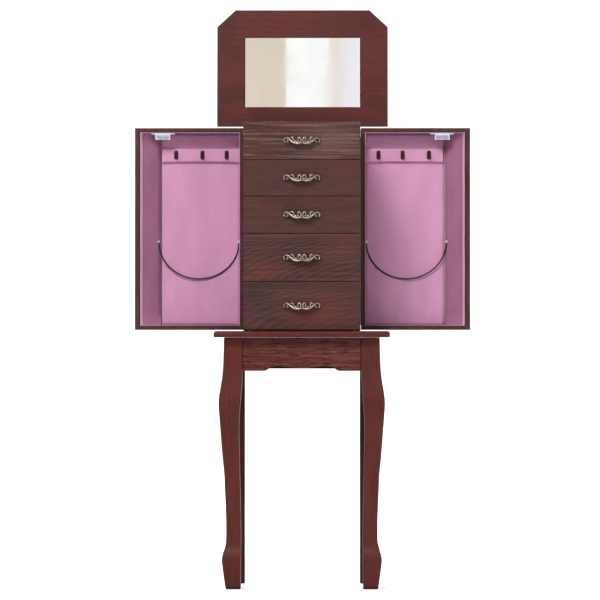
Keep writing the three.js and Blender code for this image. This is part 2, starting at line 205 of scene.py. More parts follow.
# Short pile: fine nap, crushed patches and a soft brushed direction.
def makeVelvetNap():
    tree, given, result = newGroup("velvetNap", {}, ("Pile", "Crush"))
    vector = given.outputs["Vector"]
    pile = noiseNode(tree, vector, 1700.0, 2.0, 0.7)
    brushed = grainNoise(tree, vector, (260.0, 260.0, 90.0), 2.0, 0.6)
    both = mathNode(tree, "ADD", mathNode(tree, "MULTIPLY", pile, 0.6),
                    mathNode(tree, "MULTIPLY", brushed, 0.4))
    tree.links.new(both, result.inputs["Pile"])
    crush = grainNoise(tree, vector, (22.0, 22.0, 9.0), 3.0, 0.55)
    tree.links.new(mapRange(tree, crush, 0.34, 0.66, 0.0, 1.0, True), result.inputs["Crush"])
    return tree


# Darkening in hollows: patina and dirt that settle there, and painted shade where the hollows fall dark.
def makeHollowShade():
    tree, given, result = newGroup("hollowShade", {"Reach": 0.0025}, ("Hollow", "Mottle"))
    occlusion = tree.nodes.new("ShaderNodeAmbientOcclusion")
    occlusion.samples = 6
    occlusion.only_local = True
    tree.links.new(given.outputs["Reach"], occlusion.inputs["Distance"])
    closed = mapRange(tree, occlusion.outputs["AO"], 0.45, 0.95, 1.0, 0.0, True)
    tree.links.new(closed, result.inputs["Hollow"])
    tree.links.new(noiseNode(tree, given.outputs["Vector"], 420.0, 3.0, 0.6), result.inputs["Mottle"])
    return tree


groups = {
    "wood": makeWoodFigure(),
    "edge": makeEdgeWearAndShade(),
    "velvet": makeVelvetNap(),
    "hollow": makeHollowShade(),
}
print("shader groups made")


def newMaterial(name, roughness, metallic=0.0):
    material = bpy.data.materials.new(name)
    material.use_nodes = True
    tree = material.node_tree
    shader = tree.nodes["Principled BSDF"]
    shader.inputs["Roughness"].default_value = roughness
    shader.inputs["Metallic"].default_value = metallic
    coordinates = tree.nodes.new("ShaderNodeTexCoord").outputs["Object"]
    return material, tree, shader, coordinates


def useGroup(tree, kind, vector, **values):
    node = tree.nodes.new("ShaderNodeGroup")
    node.node_tree = groups[kind]
    tree.links.new(vector, node.inputs["Vector"])
    for label, value in values.items():
        node.inputs[label.replace("_", " ")].default_value = value
    return node.outputs


def bumpFrom(tree, shader, height, strength, distance):
    bump = tree.nodes.new("ShaderNodeBump")
    bump.inputs["Strength"].default_value = strength
    bump.inputs["Distance"].default_value = distance
    tree.links.new(height, bump.inputs["Height"])
    tree.links.new(bump.outputs["Normal"], shader.inputs["Normal"])


grainTurn = {"X": (0, 0, 0), "Y": (0, 0, -math.pi / 2), "Z": (0, math.pi / 2, 0)}

# ground = the board's main tone, deep = late wood and painted shade on the lid's lower strip, warm = red
# patches, light = open flecks and painted highlights, pore = pores and gathered stain, also painted shade
# along edges and at the feet, edge = corners rubbed thin, partly a painted edge highlight
woodTones = {
    "mahogany": {
        "ground": (0.098, 0.0185, 0.0145), "deep": (0.046, 0.0090, 0.0075), "warm": (0.112, 0.0155, 0.0120),
        "light": (0.165, 0.060, 0.046), "pore": (0.014, 0.0045, 0.004), "edge": (0.17, 0.070, 0.050)},
    "drawer": {
        "ground": (0.074, 0.029, 0.026), "deep": (0.034, 0.015, 0.014), "warm": (0.118, 0.024, 0.018),
        "light": (0.200, 0.108, 0.100), "pore": (0.014, 0.007, 0.006), "edge": (0.13, 0.064, 0.056)},
    "carcass": {
        "ground": (0.080, 0.024, 0.018), "deep": (0.042, 0.012, 0.010), "warm": (0.096, 0.021, 0.016),
        "light": (0.140, 0.056, 0.044), "pore": (0.018, 0.007, 0.006), "edge": (0.15, 0.066, 0.050)},
    # painted shade: a darker copy of the mahogany, for the rear legs and rear apron that stand in shade
    "paintedShade": {
        "ground": (0.036, 0.0090, 0.0075), "deep": (0.016, 0.0045, 0.004), "warm": (0.043, 0.0085, 0.007),
        "light": (0.060, 0.021, 0.016), "pore": (0.007, 0.003, 0.0025), "edge": (0.08, 0.032, 0.024)},
}


# a mask that fades from the middle (x, z) over the spread (x, z)
def softSpot(tree, coordinates, middle, spread, strength):
    away = vectorMath(tree, "SUBTRACT", coordinates, (middle[0], 0.0, middle[1]))[0]
    scaled = vectorMath(tree, "MULTIPLY", away, (1 / spread[0], 0.0, 1 / spread[1]))[0]
    reach = vectorMath(tree, "LENGTH", scaled)["Value"]
    return mapRange(tree, reach, 0.0, 1.0, strength, 0.0, True)


# offset moves the board through the tree, so no two boards carry the same figure
def woodMaterial(name, tones, along, offset, figurePlan):
    material, tree, shader, coordinates = newMaterial(name, 0.45)
    tone = woodTones[tones]
    mapping = tree.nodes.new("ShaderNodeMapping")
    tree.links.new(coordinates, mapping.inputs["Vector"])
    mapping.inputs["Rotation"].default_value = grainTurn[along]
    mapping.inputs["Location"].default_value = offset
    vector = mapping.outputs["Vector"]
    plan = {"ring": 0.008, "wave": 0.010, "lean": 0.05, "rings": 0.4, "streaks": 0.4, "flecks": 0.2,
            "warmth": 0.4, "pores": 0.7, "stain": 0.45, "paintedSheen": 0.0,
            "dashes": 0.0, "foot": 0.0, "edge": 0.0022, "spots": ()}
    plan.update(figurePlan)
    figure = useGroup(tree, "wood", vector, Ring_Width=plan["ring"], Waviness=plan["wave"], Lean=plan["lean"])
    edge = useGroup(tree, "edge", vector, Width=plan["edge"])["Edge"]
    driftMask = mapRange(tree, figure["Drift"], 0.42, 0.62, 0.0, plan["warmth"], True)
    color = mixColor(tree, driftMask, tone["ground"], tone["warm"])
    color = mixColor(tree, mathNode(tree, "MULTIPLY", figure["Rings"], plan["rings"]), color, tone["deep"])
    streakMask = mapRange(tree, figure["Streaks"], 0.40, 0.68, 0.0, plan["streaks"], True)
    color = mixColor(tree, streakMask, color, tone["deep"])
    # cloudy patches where the stain took deeper
    cloud = grainNoise(tree, vector, (9.0, 14.0, 14.0), 3.0, 0.6)
    cloudMask = mapRange(tree, cloud, 0.46, 0.68, 0.0, plan["stain"], True)
    color = mixColor(tree, cloudMask, color, tone["deep"])
    # broad soft patches where this board is redder, paler or darker; the lid's lower dark patch is painted
    # shade and the first drawer's pale patch is painted highlight
    for middle, spread, toneName, strength in plan["spots"]:
        color = mixColor(tree, softSpot(tree, coordinates, middle, spread, strength), color, tone[toneName])
    color = mixColor(tree, mathNode(tree, "MULTIPLY", figure["Flecks"], plan["flecks"]), color, tone["light"])
    # painted highlight: paler streaks along the grain where glossy light would fall
    if plan["paintedSheen"]:
        paintedSheenMask = mapRange(tree, figure["Streaks"], 0.52, 0.36, 0.0, plan["paintedSheen"], True)
        color = mixColor(tree, paintedSheenMask, color, tone["light"])
    if plan["dashes"]:
        dashNoise = grainNoise(tree, vector, (34.0, 330.0, 330.0), 2.0, 0.6)
        dashMask = mapRange(tree, dashNoise, 0.51, 0.63, 0.0, plan["dashes"], True)
        color = mixColor(tree, dashMask, color, tone["pore"])
    color = mixColor(tree, mathNode(tree, "MULTIPLY", figure["Pores"], plan["pores"]), color, tone["pore"])
    # stain gathers dark along the corners, and is rubbed thin in places; the dark rim is also painted shade,
    # as in the gaps between drawers, and the pale patches also paint edge highlights
    rubbed = mapRange(tree, figure["Drift"], 0.50, 0.60, 0.0, 1.0, True)
    edgeWearAndShadeTone = mixColor(tree, rubbed, tone["pore"], tone["edge"])
    color = mixColor(tree, mathNode(tree, "MULTIPLY", edge, 0.75), color, edgeWearAndShadeTone)
    # painted shade: the legs darken towards the floor over their last few millimetres
    if plan["foot"]:
        split = tree.nodes.new("ShaderNodeSeparateXYZ")
        tree.links.new(coordinates, split.inputs[0])
        footShadeMask = mapRange(tree, split.outputs[2], plan["foot"] * 0.35, plan["foot"], 0.9, 0.0, True)
        color = mixColor(tree, footShadeMask, color, tone["pore"])
    tree.links.new(color, shader.inputs["Base Color"])
    gloss = mapRange(tree, figure["Streaks"], 0.3, 0.7, 0.30, 0.40)
    gloss = mathNode(tree, "ADD", gloss, mathNode(tree, "MULTIPLY", figure["Pores"], 0.2))
    tree.links.new(gloss, shader.inputs["Roughness"])
    shader.inputs["Specular IOR Level"].default_value = 0.18
    sunk = mathNode(tree, "ADD", mathNode(tree, "MULTIPLY", figure["Pores"], -1.0),
                    mathNode(tree, "MULTIPLY", figure["Flecks"], 0.3))
    bumpFrom(tree, shader, sunk, 0.35, 0.0004)
    return material


def velvetMaterial(name, color, deep):
    material, tree, shader, coordinates = newMaterial(name, 0.92)
    nap = useGroup(tree, "velvet", coordinates)
    mask = mapRange(tree, nap["Crush"], 0.0, 1.0, 0.0, 0.42)
    tint = mixColor(tree, mask, color, deep)
    tint = mixColor(tree, mapRange(tree, nap["Pile"], 0.35, 0.65, 0.0, 0.28), tint, deep)
    tree.links.new(tint, shader.inputs["Base Color"])
    shader.inputs["Specular IOR Level"].default_value = 0.15
    shader.inputs["Sheen Weight"].default_value = 0.3
    shader.inputs["Sheen Roughness"].default_value = 0.35
    shader.inputs["Sheen Tint"].default_value = (1.0, 0.82, 0.93, 1.0)
    bumpFrom(tree, shader, nap["Pile"], 0.45, 0.0005)
    return material


def metalMaterial(name, color, dark, roughness, reach, darkening=0.85):
    material, tree, shader, coordinates = newMaterial(name, roughness, 1.0)
    shade = useGroup(tree, "hollow", coordinates, Reach=reach)
    mottle = mapRange(tree, shade["Mottle"], 0.4, 0.7, 0.0, 0.35, True)
    tint = mixColor(tree, mottle, color, dark)
    # hollows darkened: patina and dirt, and painted shade
    tint = mixColor(tree, mathNode(tree, "MULTIPLY", shade["Hollow"], darkening), tint, dark)
    tree.links.new(tint, shader.inputs["Base Color"])
    rough = mapRange(tree, shade["Mottle"], 0.3, 0.7, roughness - 0.07, roughness + 0.12)
    tree.links.new(rough, shader.inputs["Roughness"])
    bumpFrom(tree, shader, shade["Mottle"], 0.12, 0.0003)
    return material


def plasticMaterial(name, color, roughness):
    material, tree, shader, coordinates = newMaterial(name, roughness)
    speck = noiseNode(tree, coordinates, 900.0, 2.0, 0.6)
    cloud = noiseNode(tree, coordinates, 60.0, 2.0, 0.5)
    worn = tuple(0.86 * c for c in color)
    tree.links.new(mixColor(tree, mapRange(tree, cloud, 0.4, 0.7, 0.0, 0.6, True), color, worn),
                   shader.inputs["Base Color"])
    rough = mapRange(tree, cloud, 0.3, 0.7, roughness - 0.05, roughness + 0.1)
    tree.links.new(rough, shader.inputs["Roughness"])
    bumpFrom(tree, shader, speck, 0.15, 0.0002)
    return material


def mirrorMaterial():
    material, tree, shader, coordinates = newMaterial("silveredGlass", 0.02, 1.0)
    haze = noiseNode(tree, coordinates, 16.0, 3.0, 0.6)
    clean, dusty = (0.95, 0.965, 0.96), (0.92, 0.93, 0.925)
    tree.links.new(mixColor(tree, mapRange(tree, haze, 0.45, 0.75, 0.0, 1.0, True), clean, dusty),
                   shader.inputs["Base Color"])
    tree.links.new(mapRange(tree, haze, 0.4, 0.8, 0.015, 0.06), shader.inputs["Roughness"])
    return material


def cordMaterial():
    material, tree, shader, coordinates = newMaterial("blackElastic", 0.62)
    weave = grainNoise(tree, coordinates, (2600.0, 2600.0, 1200.0), 1.0, 0.5)
    hollow, raised = (0.004, 0.0035, 0.004), (0.016, 0.013, 0.015)
    color = mixColor(tree, mapRange(tree, weave, 0.4, 0.65), hollow, raised)
    tree.links.new(color, shader.inputs["Base Color"])
    bumpFrom(tree, shader, weave, 0.6, 0.0004)
    return material


calm = {"rings": 0.20, "streaks": 0.25, "flecks": 0.06, "warmth": 0.5, "pores": 0.35}
lively = {"rings": 0.85, "streaks": 0.6, "flecks": 0.95, "warmth": 0.6, "pores": 0.95}
legFigure = {**calm, "foot": 0.006, "stain": 0.35}
boardPlans = {
    "base_top": ("mahogany", "X", (0.30, 0.11, -0.42), {**calm, "streaks": 0.5, "stain": 0.8}),
    "leg_front_left": ("mahogany", "Z", (0.10, 0.23, 0.13), legFigure),
    "leg_front_right": ("mahogany", "Z", (0.73, -0.19, 0.17), legFigure),
    "leg_rear_left": ("paintedShade", "Z", (0.41, 0.31, 0.11), legFigure),
    "leg_rear_right": ("paintedShade", "Z", (0.92, -0.29, 0.16), legFigure),
    "apron_front": ("mahogany", "X", (0.0, 0.130, -0.512), {
        **lively, "ring": 0.0050, "lean": 0.24, "wave": 0.014, "flecks": 0.6, "paintedSheen": 0.55, "rings": 0.9,
        "streaks": 0.3, "dashes": 0.75, "stain": 0.2,
        "spots": [((-0.02, 0.428), (0.13, 0.020), "deep", 0.4), ((0.0, 0.46), (0.3, 0.1), "warm", 0.6)]}),
    "apron_rear": ("paintedShade", "X", (0.66, 0.05, -0.36), calm),
    "apron_left": ("mahogany", "Y", (0.08, 0.145, -0.50), {**lively, "lean": 0.2, "flecks": 0.5}),
    "apron_right": ("mahogany", "Y", (0.08, -0.13, -0.50), {**lively, "lean": 0.2, "flecks": 0.5}),
    "lid_board": ("mahogany", "X", (0.55, -0.10, -1.25), {
        **calm, "ring": 0.011, "pores": 0.2, "stain": 0.6,
        # the lid's first spot is painted shade along its lower strip; the second is a darker stain
        "spots": [((0.0, 0.886), (0.30, 0.030), "deep", 0.75), ((0.09, 1.08), (0.12, 0.05), "deep", 0.35)]}),
    "side_panel_left": ("carcass", "Z", (0.35, 0.09, 0.14), {"lean": 0.12}),
    "side_panel_right": ("carcass", "Z", (0.85, -0.13, 0.14), {"lean": 0.12}),
    "back_panel": ("carcass", "Z", (0.61, 0.03, -0.08), {"lean": 0.10, "ring": 0.012}),
    "tray_floor": ("carcass", "X", (0.44, 0.1, -0.80), {}),
}
print("materials ready")


# meshes

def linkMesh(name, vertices, faces, *materials):
    mesh = bpy.data.meshes.new(name)
    mesh.from_pydata([tuple(v) for v in vertices], [], faces)
    mesh.validate()
    tidy = bmesh.new()
    tidy.from_mesh(mesh)
    bmesh.ops.recalc_face_normals(tidy, faces=tidy.faces)
    tidy.to_mesh(mesh)
    tidy.free()
    for polygon in mesh.polygons:
        polygon.use_smooth = True
    obj = bpy.data.objects.new(name, mesh)
    bpy.context.collection.objects.link(obj)
    for material in materials:
        mesh.materials.append(material)
    return obj


def softenEdges(obj, width, segments=2, angle=30):
    bevel = obj.modifiers.new("softEdges", "BEVEL")
    bevel.width = width * mm
    bevel.segments = segments
    bevel.limit_method = "ANGLE"
    bevel.angle_limit = math.radians(angle)
    bevel.use_clamp_overlap = True
    weighted = obj.modifiers.new("evenShading", "WEIGHTED_NORMAL")
    weighted.weight = 80
    weighted.keep_sharp = False


# A CAD board keeps its shape and gains soft edges and its own finish.
def dressNode(name, material, width, segments=2):
    obj = nodes[name]
    obj.data.materials.clear()
    obj.data.materials.append(material)
    for polygon in obj.data.polygons:
        polygon.use_smooth = True
        polygon.material_index = 0
    weld = obj.modifiers.new("joinCorners", "WELD")
    weld.merge_threshold = 0.00002
    flat = obj.modifiers.new("joinFlats", "DECIMATE")
    flat.decimate_type = "DISSOLVE"
    flat.angle_limit = math.radians(0.4)
    softenEdges(obj, width, segments)


# Faces between rows of vertices, each row a closed loop. Wrapped rows also join the last to the first.
def addBands(faces, start, rows, count, wrapped=False):
    for i in range(rows if wrapped else rows - 1):
        near, far = start + i * count, start + (i + 1) % rows * count
        for k in range(count):
            n = (k + 1) % count
            faces.append((near + k, near + n, far + n, far + k))


def addCaps(faces, start, rows, count):
    faces.append(tuple(start + k for k in reversed(range(count))))
    faces.append(tuple(start + (rows - 1) * count + k for k in range(count)))


def addLoops(vertices, faces, rings):  # a closed skin over the rings, with a flat cap at each end
    start, count = len(vertices), len(rings[0])
    for ring in rings:
        vertices.extend(ring)
    addBands(faces, start, len(rings), count)
    addCaps(faces, start, len(rings), count)


def tubeRings(points, radii, count):
    rings = []
    side = None
    for i, (point, radius) in enumerate(zip(points, radii)):
        ahead = points[min(i + 1, len(points) - 1)] - points[max(i - 1, 0)]
        ahead.normalize()
        if side is None:
            start = Vector((0, 1, 0)) if abs(ahead.y) < 0.9 else Vector((1, 0, 0))
            side = ahead.cross(start).normalized()
        else:
            side = (side - ahead * side.dot(ahead)).normalized()
        other = ahead.cross(side)
        rings.append([
            point + side * (math.cos(2 * math.pi * k / count) * radius)
            + other * (math.sin(2 * math.pi * k / count) * radius) for k in range(count)
        ])
    return rings


# radii are in millimetres, one for each point
def addTube(vertices, faces, points, radii, count=12, roundEnds=True):
    radii = [radius * mm for radius in radii]
    if roundEnds:
        first, last = (points[0] - points[1]).normalized(), (points[-1] - points[-2]).normalized()
        head, tail = [], []
        for angle in (80, 50, 25):
            c, s = math.cos(math.radians(angle)), math.sin(math.radians(angle))
            head.append((points[0] + first * radii[0] * s, radii[0] * c))
            tail.insert(0, (points[-1] + last * radii[-1] * s, radii[-1] * c))
        points = [p for p, _ in head] + points + [p for p, _ in tail]
        radii = [r for _, r in head] + radii + [r for _, r in tail]
    addLoops(vertices, faces, tubeRings(points, radii, count))


def smoothCurve(points, perSpan):  # Catmull-Rom through the points, for tuples of any length
    result = []
    last = len(points) - 1
    for i in range(last):
        p0, p1 = points[max(i - 1, 0)], points[i]
        p2, p3 = points[i + 1], points[min(i + 2, last)]
        for k in range(perSpan):
            t = k / perSpan
            result.append(tuple(
                0.5 * (2 * b + (c - a) * t + (2 * a - 5 * b + 4 * c - d) * t * t
                       + (3 * b - a - 3 * c + d) * t ** 3)
                for a, b, c, d in zip(p0, p1, p2, p3)))
    result.append(tuple(points[last]))
    return result


def addBall(vertices, faces, centre, radius, stretch=(1, 1, 1)):
    start, around, down = len(vertices), 16, 10
    reach = [radius * mm * share for share in stretch]
    for j in range(1, down):
        polar = math.pi * j / down
        for k in range(around):
            turn = 2 * math.pi * k / around
            vertices.append(centre + Vector((reach[0] * math.sin(polar) * math.cos(turn),
                                             reach[1] * math.sin(polar) * math.sin(turn),
                                             reach[2] * math.cos(polar))))
    top, bottom = len(vertices), len(vertices) + 1
    vertices.append(centre + Vector((0, 0, reach[2])))
    vertices.append(centre - Vector((0, 0, reach[2])))
    addBands(faces, start, down - 1, around)
    low = start + (down - 2) * around
    for k in range(around):
        n = (k + 1) % around
        faces.append((top, start + n, start + k))
        faces.append((bottom, low + k, low + n))


# A turned form: profile of (distance out, radius) in millimetres along an axis from a base point.
def addTurned(vertices, faces, base, axis, profile, count=20):
    axis = Vector(axis).normalized()
    side = axis.orthogonal().normalized()
    other = axis.cross(side)
    turns = [2 * math.pi * k / count for k in range(count)]
    rings = []
    for out, radius in profile:
        middle = base + axis * (out * mm)
        rings.append([middle + (side * math.cos(turn) + other * math.sin(turn)) * (radius * mm)
                      for turn in turns])
    addLoops(vertices, faces, rings)


# A closed outline pushed between two depths. spot(a, b, depth) places a point.
def addPlate(vertices, faces, outline, spot, low, high):
    addLoops(vertices, faces, [[spot(a, b, depth) for a, b in outline] for depth in (low, high)])


def roundedOutline(a0, a1, b0, b1, radius, steps=5):
    outline = []
    corners = ((a1 - radius, b0 + radius, -90), (a1 - radius, b1 - radius, 0),
               (a0 + radius, b1 - radius, 90), (a0 + radius, b0 + radius, 180))
    for a, b, turn in corners:
        for k in range(steps + 1):
            angle = math.radians(turn + 90 * k / steps)
            outline.append((a + radius * math.cos(angle), b + radius * math.sin(angle)))
    return outline


# cords on the doors: springy, so each sags into half an ellipse between its two plugs
cordSettings = {"radius": 1.4, "near": 123.6, "far": 278.5, "nearDepth": 38.8, "farDepth": 33.0,
                "anchor": 656.5, "sag": 71.0, "steps": 46}
blackElastic = cordMaterial()


def hangingPoints(sign):
    near, far = cordSettings["near"], cordSettings["far"]
    nearDepth, farDepth = cordSettings["nearDepth"], cordSettings["farDepth"]
    points = []
    for i in range(cordSettings["steps"] + 1):
        angle = math.pi * i / cordSettings["steps"]
        share = (1 + math.cos(angle)) / 2
        depth = nearDepth + (farDepth - nearDepth) * share
        z = cordSettings["anchor"] - cordSettings["sag"] * math.sin(angle)
        points.append(place(sign * (near + (far - near) * share), doorCorner["y"] + depth, z))
    return points


for side, sign in sides:
    route = hangingPoints(sign)
    vertices, faces = [], []
    addTube(vertices, faces, route, [cordSettings["radius"]] * len(route), roundEnds=False)
    cordPiece = linkMesh(f"elastic_cord_{side}", vertices, faces, blackElastic)
    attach(cordPiece, f"{side}_door")
    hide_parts(f"necklace_cord_{side}")


# wooden boards
boardSettings = {"edge": 0.9, "drawerEdge": 0.7, "legEdge": 1.6, "drawerGapShadeRim": 0.0032}
for name, (tones, along, offset, figurePlan) in boardPlans.items():
    material = woodMaterial(f"{tones}_{name}", tones, along, offset, figurePlan)
    width = boardSettings["legEdge"] if name.startswith("leg") else boardSettings["edge"]
    dressNode(name, material, width)
shelfWood = woodMaterial("carcass_shelves", "carcass", "X", (0.27, 0.1, 0.1), {})
for i in range(1, 5):
    dressNode(f"shelf_{i}", shelfWood, 0.4)
for side, sign in sides:
    offset = (0.52 if sign < 0 else 0.19, 0.18 * sign, 0.10)
    frameWood = woodMaterial(f"drawer_door_{side}", "drawer", "Z", offset, {"rings": 0.3, "flecks": 0.2})
    dressNode(f"door_frame_{side}", frameWood, 0.8)
    dressNode(f"door_panel_{side}", frameWood, 0.4)
drawerFigures = [
    # the first front carries painted highlight: paler streaks and a pale patch near its top
    ((0.13, 0.32, -0.60), {"rings": 0.2, "streaks": 0.75, "flecks": 0.3, "warmth": 0.6, "lean": 0.02,
                           "paintedSheen": 0.55, "pores": 0.6, "stain": 0.3,
                           "spots": [((0.045, 0.842), (0.10, 0.05), "light", 0.40)]}),
    ((0.47, 0.40, -0.55), {"rings": 0.15, "streaks": 0.30, "flecks": 0.05, "warmth": 0.4, "pores": 0.30,
                           "spots": [((0.085, 0.776), (0.05, 0.05), "warm", 0.25)]}),
    ((0.81, 0.36, -0.50), {"rings": 0.20, "streaks": 0.50, "flecks": 0.08, "warmth": 0.3, "pores": 0.40,
                           "spots": [((-0.07, 0.715), (0.07, 0.04), "warm", 0.25)]}),
    ((0.30, -0.0125, -0.560), {"ring": 0.0050, "lean": 0.25, "rings": 0.9, "streaks": 0.3, "flecks": 0.10,
                               "paintedSheen": 0.15, "warmth": 0.4, "wave": 0.009, "stain": 0.35, "pores": 0.5,
                               "spots": [((-0.075, 0.595), (0.07, 0.05), "warm", 0.5),
                                         ((0.075, 0.65), (0.06, 0.04), "warm", 0.4)]}),
    ((0.30, -0.0150, -0.465), {"ring": 0.0058, "lean": 0.24, "rings": 0.8, "streaks": 0.3, "flecks": 0.08,
                               "paintedSheen": 0.10, "warmth": 0.4, "wave": 0.009, "stain": 0.35, "pores": 0.5,
                               "spots": [((0.03, 0.515), (0.10, 0.07), "warm", 0.6),
                                         ((-0.09, 0.56), (0.06, 0.06), "deep", 0.6)]}),
]
for i, (offset, figurePlan) in enumerate(drawerFigures, 1):
    # painted shade: a wider dark rim on each drawer front stands in for the shadow in the gaps between
    # drawers
    gapShadePlan = {**figurePlan, "edge": boardSettings["drawerGapShadeRim"]}
    material = woodMaterial(f"drawer_wood_{i}", "drawer", "X", offset, gapShadePlan)
    dressNode(f"drawer_front_{i}", material, boardSettings["drawerEdge"])
boxWood = woodMaterial("drawer_box_wood", "carcass", "Y", (0.33, 0.12, 0.1), {})
for i in range(1, 6):
    dressNode(f"drawer_box_{i}", boxWood, 0.5)
print("boards dressed")

pinkVelvet = velvetMaterial("pinkVelvet", (0.62, 0.31, 0.48), (0.50, 0.225, 0.37))
# painted highlight: a paler copy of the velvet for the rolled edges, where light catches the fold
foldHighlightVelvet = velvetMaterial("pinkVelvetFoldHighlight", (0.62, 0.34, 0.47), (0.50, 0.25, 0.37))
# painted shade: a darker copy of the velvet for the wall linings, which turn away from the light
wallShadeVelvet = velvetMaterial("pinkVelvetWallShade", (0.40, 0.172, 0.275), (0.29, 0.115, 0.19))


def walkCorners(corners, perEdge):  # even steps along the closed outline through the corners
    for k, (x0, y0) in enumerate(corners):
        x1, y1 = corners[(k + 1) % len(corners)]
        for i in range(perEdge):
            t = i / perEdge
            yield x0 + (x1 - x0) * t, y0 + (y1 - y0) * t


# velvet linings: a thin sleeve that follows the walls and ends in a rolled edge just inside the rim
doorLining = {"thick": 1.0, "start": 1.4, "roll": 1.5, "slack": 0.35, "perEdge": 14, "inner": 8.0,
              "slant": 202.69, "low": 494.5, "high": 868.5, "foot": 41.8}


def doorLoop(sign, v, inset):
    u0, u1 = doorLining["inner"] + inset, doorLining["slant"] - v - inset * math.sqrt(2)
    z0, z1 = doorLining["low"] + inset, doorLining["high"] - inset
    loop = []
    for u, z in walkCorners([(u0, z0), (u1, z0), (u1, z1), (u0, z1)], doorLining["perEdge"]):
        # a little unevenness in how the cloth lies on the wall
        wander = noise.noise(Vector((u * 0.03 + sign * 3, v * 0.04, z * 0.03))) * doorLining["slack"]
        toMiddle = Vector(((u0 + u1) / 2 - u, (z0 + z1) / 2 - z)).normalized()
        if inset > 0.5:
            u, z = u + toMiddle.x * max(wander, 0), z + toMiddle.y * max(wander, 0)
        loop.append(doorPlace(sign, u, v, z))
    return loop


def makeWallLining(side, sign):
    thick, start, roll, foot = (doorLining[key] for key in ("thick", "start", "roll", "foot"))
    profile = [(foot, 0.06), (start + 0.6, 0.06), (start + 0.1, 0.5), (start, 1.1), (start + 0.4, 1.4),
               (start + 1.1, roll), (start + 2.2, 1.4), (start + 3.4, 1.15), (start + 5.0, thick),
               (14, thick), (23, thick), (32, thick), (foot, thick)]
    vertices, faces = [], []
    for v, inset in profile:
        vertices.extend(doorLoop(sign, v, inset))
    count = len(vertices) // len(profile)
    addBands(faces, 0, len(profile), count, wrapped=True)
    lining = linkMesh(f"door_wall_lining_{side}", vertices, faces, wallShadeVelvet, foldHighlightVelvet)
    for polygon in lining.data.polygons:
        # the rolled edge gets the paler velvet that paints its highlight
        if 1 <= polygon.index // count <= 6:  # the rolled edge
            polygon.material_index = 1
    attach(lining, f"{side}_door")


# velvet card on the back panel, crowned by its thin padding
backCard = {"u": (9.0, 161.2), "z": (495.5, 867.5), "columns": 40, "rows": 84, "back": 41.65, "front": 41.25,
            "crown": 1.5, "falloff": 0.7, "ripple": 0.22}


def makeBackLining(side, sign):
    columns, rows = backCard["columns"], backCard["rows"]
    (u0, u1), (z0, z1) = backCard["u"], backCard["z"]
    vertices, faces = [], []
    for layer in (0, 1):
        for j in range(rows + 1):
            for i in range(columns + 1):
                u, z = u0 + (u1 - u0) * i / columns, z0 + (z1 - z0) * j / rows
                edge = min(u - u0, u1 - u, z - z0, z1 - z)
                crown = backCard["crown"] * (1 - math.exp(-edge / backCard["falloff"]))
                ripple = backCard["ripple"] * noise.noise(Vector((u * 0.035, z * 0.018, 5 * sign)))
                front = backCard["front"] - crown - ripple * min(1, edge / 8)
                vertices.append(doorPlace(sign, u, front if layer else backCard["back"], z))
    row = columns + 1
    layerSize = row * (rows + 1)
    for j in range(rows):
        for i in range(columns):
            a = j * row + i
            faces.append((a, a + 1, a + row + 1, a + row))
            b = a + layerSize
            faces.append((b, b + row, b + row + 1, b + 1))
    border = ([j for j in range(columns)] + [columns + j * row for j in range(rows)]
              + [rows * row + columns - j for j in range(columns)] + [(rows - j) * row for j in range(rows)])
    for k, a in enumerate(border):
        b = border[(k + 1) % len(border)]
        faces.append((a, b, b + layerSize, a + layerSize))
    lining = linkMesh(f"door_back_lining_{side}", vertices, faces, pinkVelvet)
    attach(lining, f"{side}_door")


for side, sign in sides:
    makeWallLining(side, sign)
    makeBackLining(side, sign)
print("door linings made")


# Pressure inside a cloth skin swells it, and each point moves no further than the cap.
def puff(obj, cap, pressure):
    rest = [v.co.copy() for v in obj.data.vertices]
    frames = 18
    cloth = obj.modifiers.new("puff", "CLOTH")
    settings = cloth.settings
    settings.use_pressure = True
    settings.uniform_pressure_force = pressure
    settings.effector_weights.gravity = 0.0
    settings.quality = 6
    settings.mass = 0.2
    settings.tension_stiffness = settings.compression_stiffness = 18.0
    settings.bending_stiffness = 0.6
    cloth.collision_settings.use_collision = False
    cloth.point_cache.frame_start, cloth.point_cache.frame_end = 1, frames
    scene = bpy.context.scene
    for step in range(1, frames + 1):
        scene.frame_set(step)
    shaped = obj.evaluated_get(bpy.context.evaluated_depsgraph_get()).to_mesh()
    moved = [v.co.copy() for v in shaped.vertices]
    obj.modifiers.remove(cloth)
    for vertex, old, new in zip(obj.data.vertices, rest, moved):
        shift = new - old
        if shift.length > cap:
            shift *= cap / shift.length
        vertex.co = old + shift
    scene.frame_set(1)


